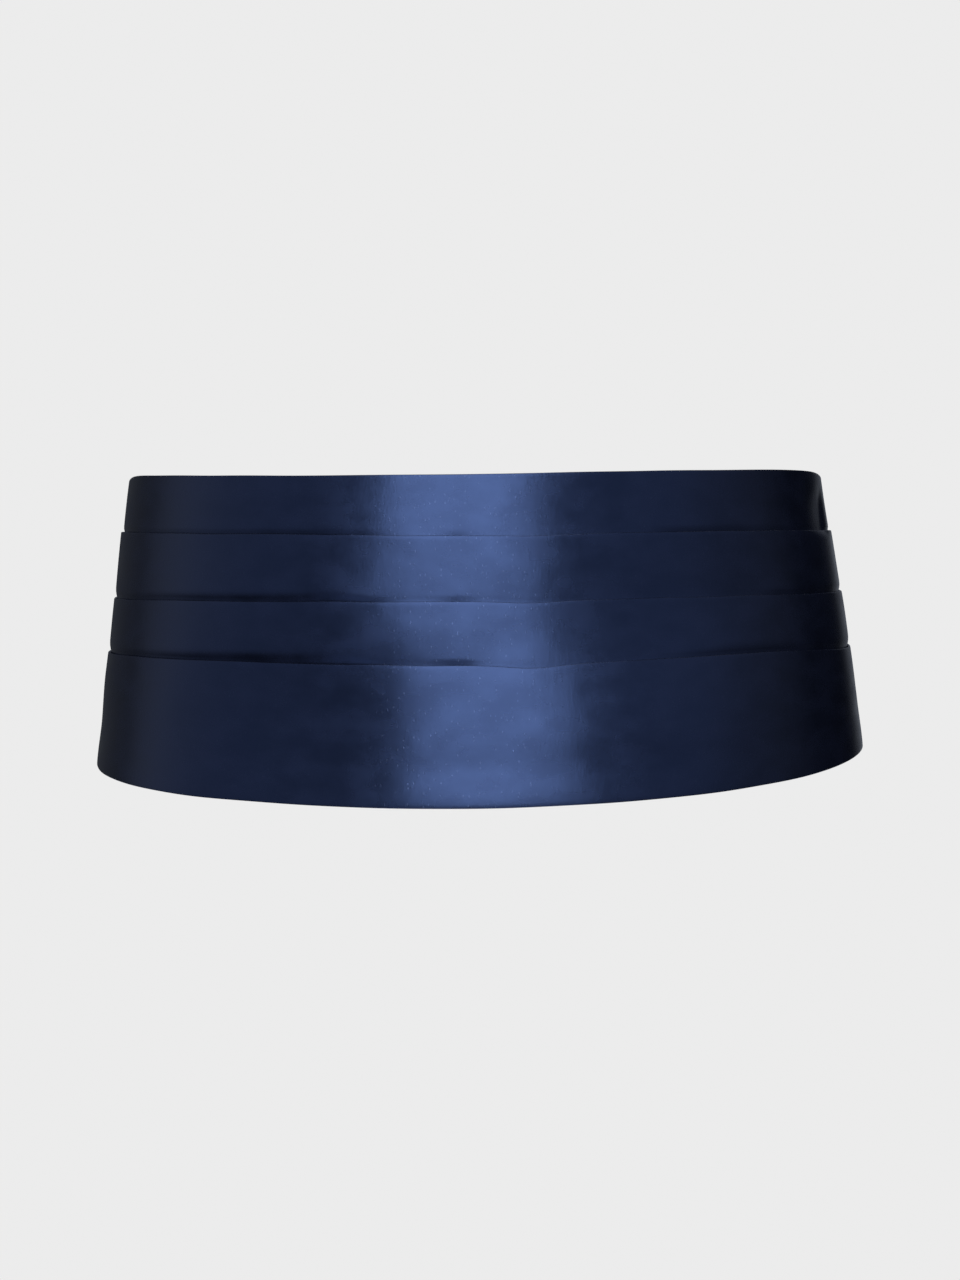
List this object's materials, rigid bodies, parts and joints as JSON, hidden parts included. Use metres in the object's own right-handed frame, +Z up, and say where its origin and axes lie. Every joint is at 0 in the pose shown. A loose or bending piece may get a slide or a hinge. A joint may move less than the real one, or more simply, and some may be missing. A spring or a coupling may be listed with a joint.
{
  "type": "cummerbund",
  "caption": "Pleated satin cummerbund in the rounded form that it has when worn, with straps that close at the back in a hook and an eye.",
  "frame": {"origin": "the middle of the waist that the cummerbund goes round, at the height of the straps' middle line", "axes": "+Z up, the pleated front faces -Y, +X is on the right seen from the front"},
  "size_m": [0.3249, 0.2193, 0.136],
  "materials": {
    "satin": "navy satin",
    "strap_satin": "navy satin on a ribbed band",
    "steel": "nickel plated"
  },
  "bodies": {
    "root": {"front_panel": "satin", "strap_left": "strap_satin", "strap_right": "strap_satin", "slide": "steel", "hook": "steel", "eye": "steel"}
  },
  "joints": []
}
